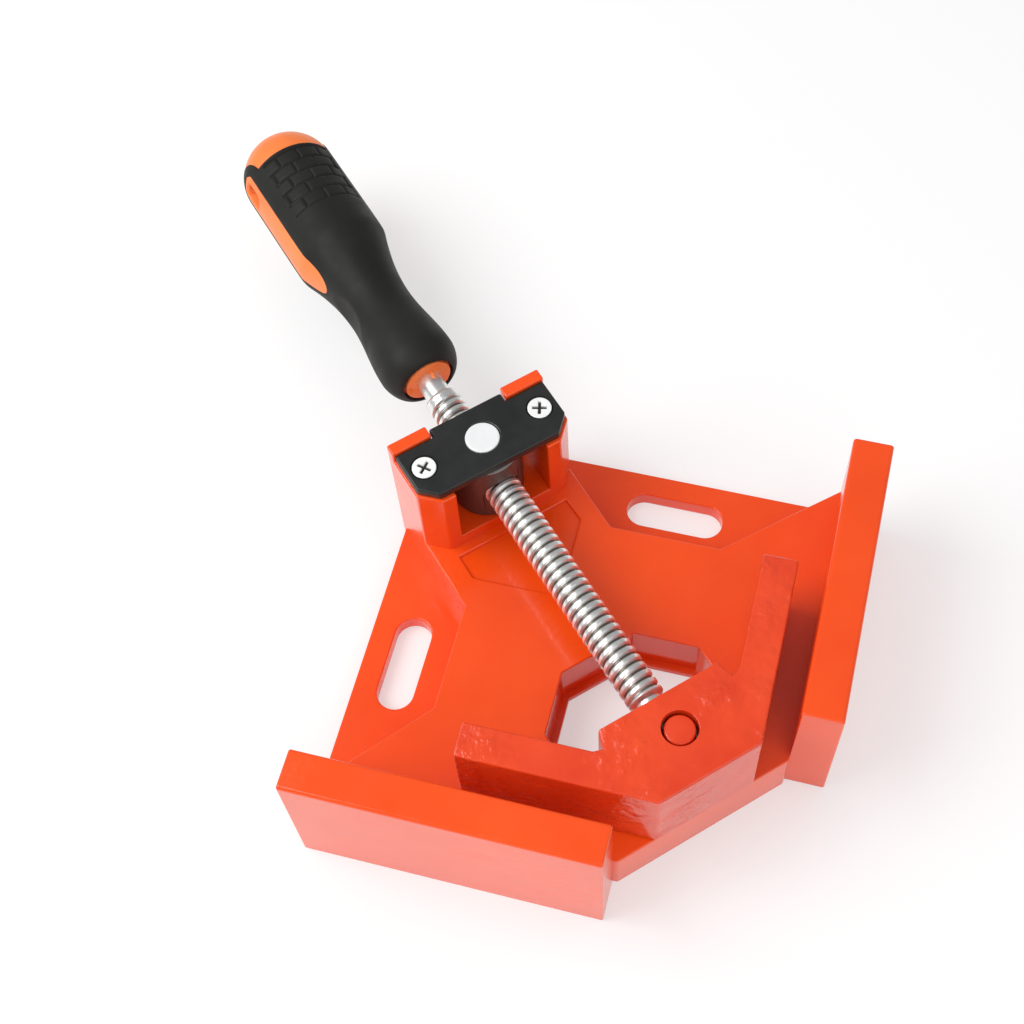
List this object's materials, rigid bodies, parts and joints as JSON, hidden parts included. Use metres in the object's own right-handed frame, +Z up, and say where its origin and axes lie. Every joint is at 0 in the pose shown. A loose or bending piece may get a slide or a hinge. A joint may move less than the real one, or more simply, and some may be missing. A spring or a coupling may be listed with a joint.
{
  "type": "corner clamp",
  "caption": "Right-angle corner clamp: a hand screw in a swivelling nut pushes a floating jaw towards fixed fences on a cast base with bench slots.",
  "frame": {"origin": "point where the planes of the two fences' clamping faces meet the underside plane, at the clamp's inner corner", "axes": "+X along one fence away from the corner, +Y along the other fence away from the corner, +Z up out of the bench; the screw runs along the line x = y"},
  "size_m": [0.2422, 0.2422, 0.0552],
  "materials": {
    "casting_paint": "gloss red-orange paint over die-cast aluminium",
    "jaw_paint": "gloss red-orange paint over die-cast aluminium",
    "pivot_paint": "gloss red-orange paint over steel",
    "black_steel": "satin black",
    "zinc_fastener": "bright zinc",
    "zinc_screw": "bright zinc, rolled",
    "zinc_nut": "bright zinc, turned",
    "spring_steel": "oiled black",
    "orange_core": "satin moulded",
    "black_grip": "matte moulded"
  },
  "bodies": {
    "frame": {"clamp_body": "casting_paint", "cover_plate": "black_steel", "cover_screw_left": "zinc_fastener", "cover_screw_right": "zinc_fastener"},
    "nut": {"swivel_nut": "zinc_nut"},
    "pivot": {"pivot_pin": "pivot_paint"},
    "jaw": {"floating_jaw": "jaw_paint"},
    "spindle": {"lead_screw": "zinc_screw", "retaining_ring": "spring_steel", "handle_core": "orange_core", "handle_cover": "black_grip"}
  },
  "joints": [
    {"name": "nut_swivel", "type": "hinge", "parent": "frame", "child": "nut", "pos_m": [0.11284, 0.11284, 0.038], "axis": [0, 0, 1], "range_deg": [-3, 3]},
    {"name": "jaw_slide", "type": "slide", "parent": "nut", "child": "pivot", "axis": [0.7071, 0.7071, 0], "range_m": [-0.0054, 0.0834]},
    {"name": "screw_spin", "type": "hinge", "parent": "pivot", "child": "spindle", "pos_m": [0.0325, 0.0325, 0.038], "axis": [0.7071, 0.7071, 0], "range_deg": [-650, 10012]},
    {"name": "jaw_swivel", "type": "hinge", "parent": "pivot", "child": "jaw", "pos_m": [0.0325, 0.0325, 0.038], "axis": [0, 0, 1], "range_deg": [-3, 3]}
  ],
  "couplings": [
    {"joint": "screw_spin", "follows": "jaw_slide", "rad_per_m": 2094.4}
  ]
}
